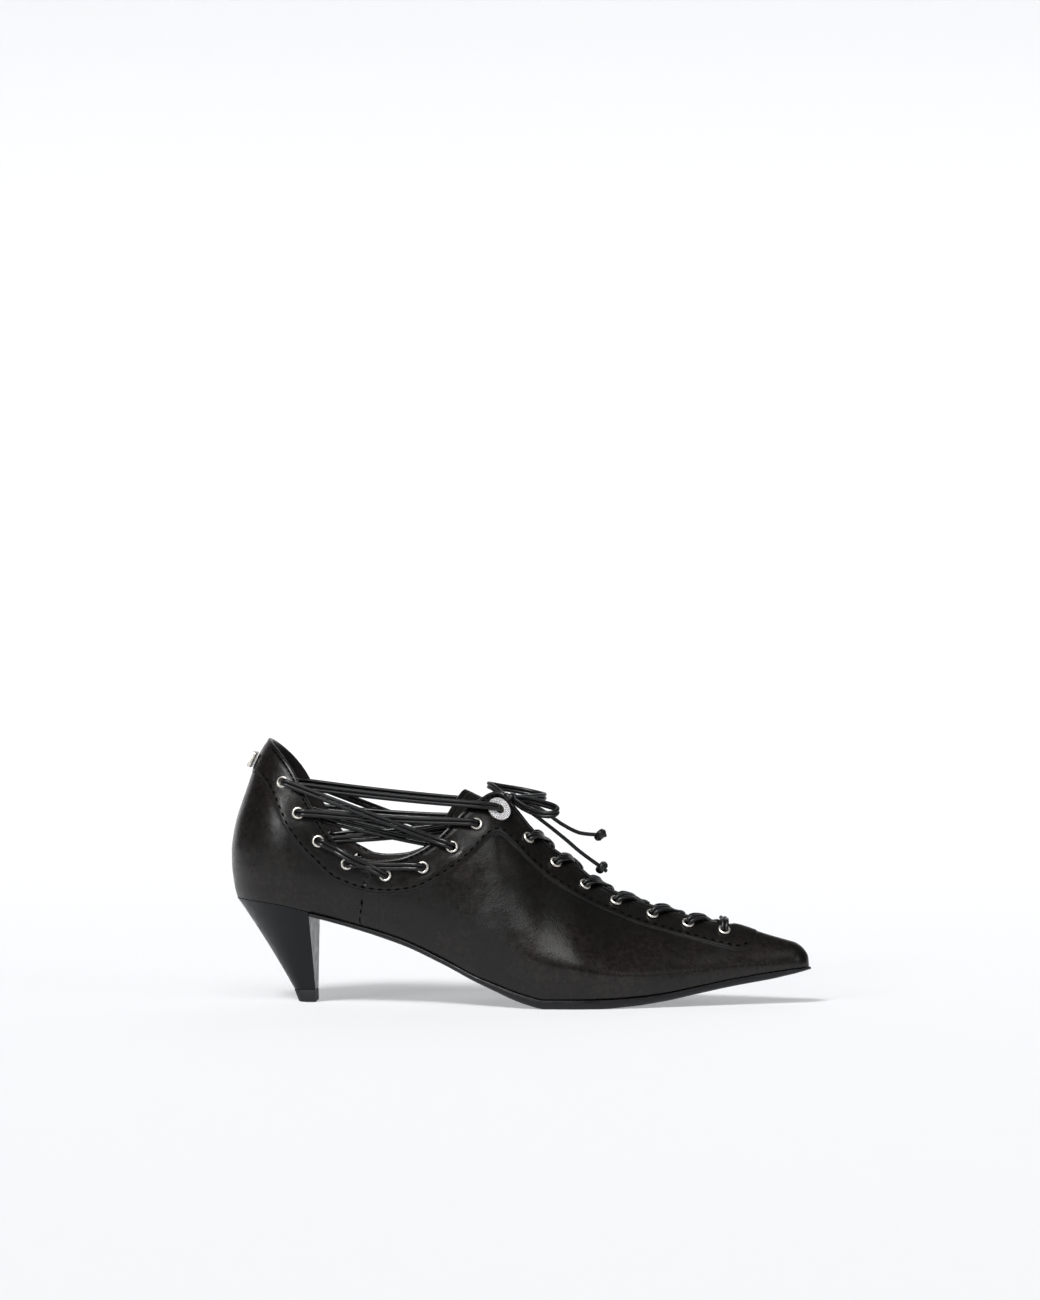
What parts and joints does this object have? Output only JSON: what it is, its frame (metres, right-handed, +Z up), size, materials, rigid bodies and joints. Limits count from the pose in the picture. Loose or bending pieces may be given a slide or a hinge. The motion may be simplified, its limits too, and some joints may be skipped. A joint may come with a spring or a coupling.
{
  "type": "lace up heel",
  "caption": "Pointed leather pump on a low cone heel, laced along the instep and across its open sides, with a bow at the throat. The right shoe of a pair.",
  "frame": {"origin": "on the floor under the middle of the shoe's box, the lacing's free ends and bow left out", "axes": "+X from heel to toe, +Y to the inner (medial) side of this right shoe, +Z up"},
  "size_m": [0.2649, 0.0803, 0.1208],
  "materials": {
    "leather": "soft black nappa with a low sheen",
    "heel": "satin black",
    "rubber": "matt black",
    "lining": "matt black lining leather",
    "steel": "polished, pale",
    "cord": "waxed round black leather cord"
  },
  "bodies": {
    "root": {"upper": "leather", "tongue": "lining", "insole": "lining", "outsole": "rubber", "heel": "heel", "top_lift": "rubber", "heel_badge": "steel", "eyelet_side_lateral_1": "steel", "eyelet_side_lateral_2": "steel", "eyelet_side_lateral_3": "steel", "eyelet_side_lateral_4": "steel", "eyelet_side_lateral_5": "steel", "eyelet_side_lateral_6": "steel", "eyelet_side_lateral_7": "steel", "eyelet_side_lateral_8": "steel", "eyelet_front_lateral_1": "steel", "eyelet_front_lateral_2": "steel", "eyelet_front_lateral_3": "steel", "eyelet_front_lateral_4": "steel", "eyelet_front_lateral_5": "steel", "eyelet_front_lateral_6": "steel", "eyelet_front_lateral_7": "steel", "eyelet_top_lateral": "steel", "eyelet_side_medial_1": "steel", "eyelet_side_medial_2": "steel", "eyelet_side_medial_3": "steel", "eyelet_side_medial_4": "steel", "eyelet_side_medial_5": "steel", "eyelet_side_medial_6": "steel", "eyelet_side_medial_7": "steel", "eyelet_side_medial_8": "steel", "eyelet_front_medial_1": "steel", "eyelet_front_medial_2": "steel", "eyelet_front_medial_3": "steel", "eyelet_front_medial_4": "steel", "eyelet_front_medial_5": "steel", "eyelet_front_medial_6": "steel", "eyelet_front_medial_7": "steel", "eyelet_top_medial": "steel", "lace_side_lateral": "cord", "lace_side_medial": "cord", "lace_front_1": "cord", "lace_front_2": "cord", "lace_front_3": "cord", "lace_front_4": "cord", "lace_front_5": "cord", "lace_front_6": "cord", "lace_front_bar": "cord", "lace_front_tie": "cord", "bow_knot": "cord", "bow_loop_medial": "cord", "bow_loop_lateral": "cord", "lace_end_upper": "cord", "lace_end_lower": "cord", "lace_end_knot_upper": "cord", "lace_end_knot_lower": "cord"}
  },
  "joints": []
}
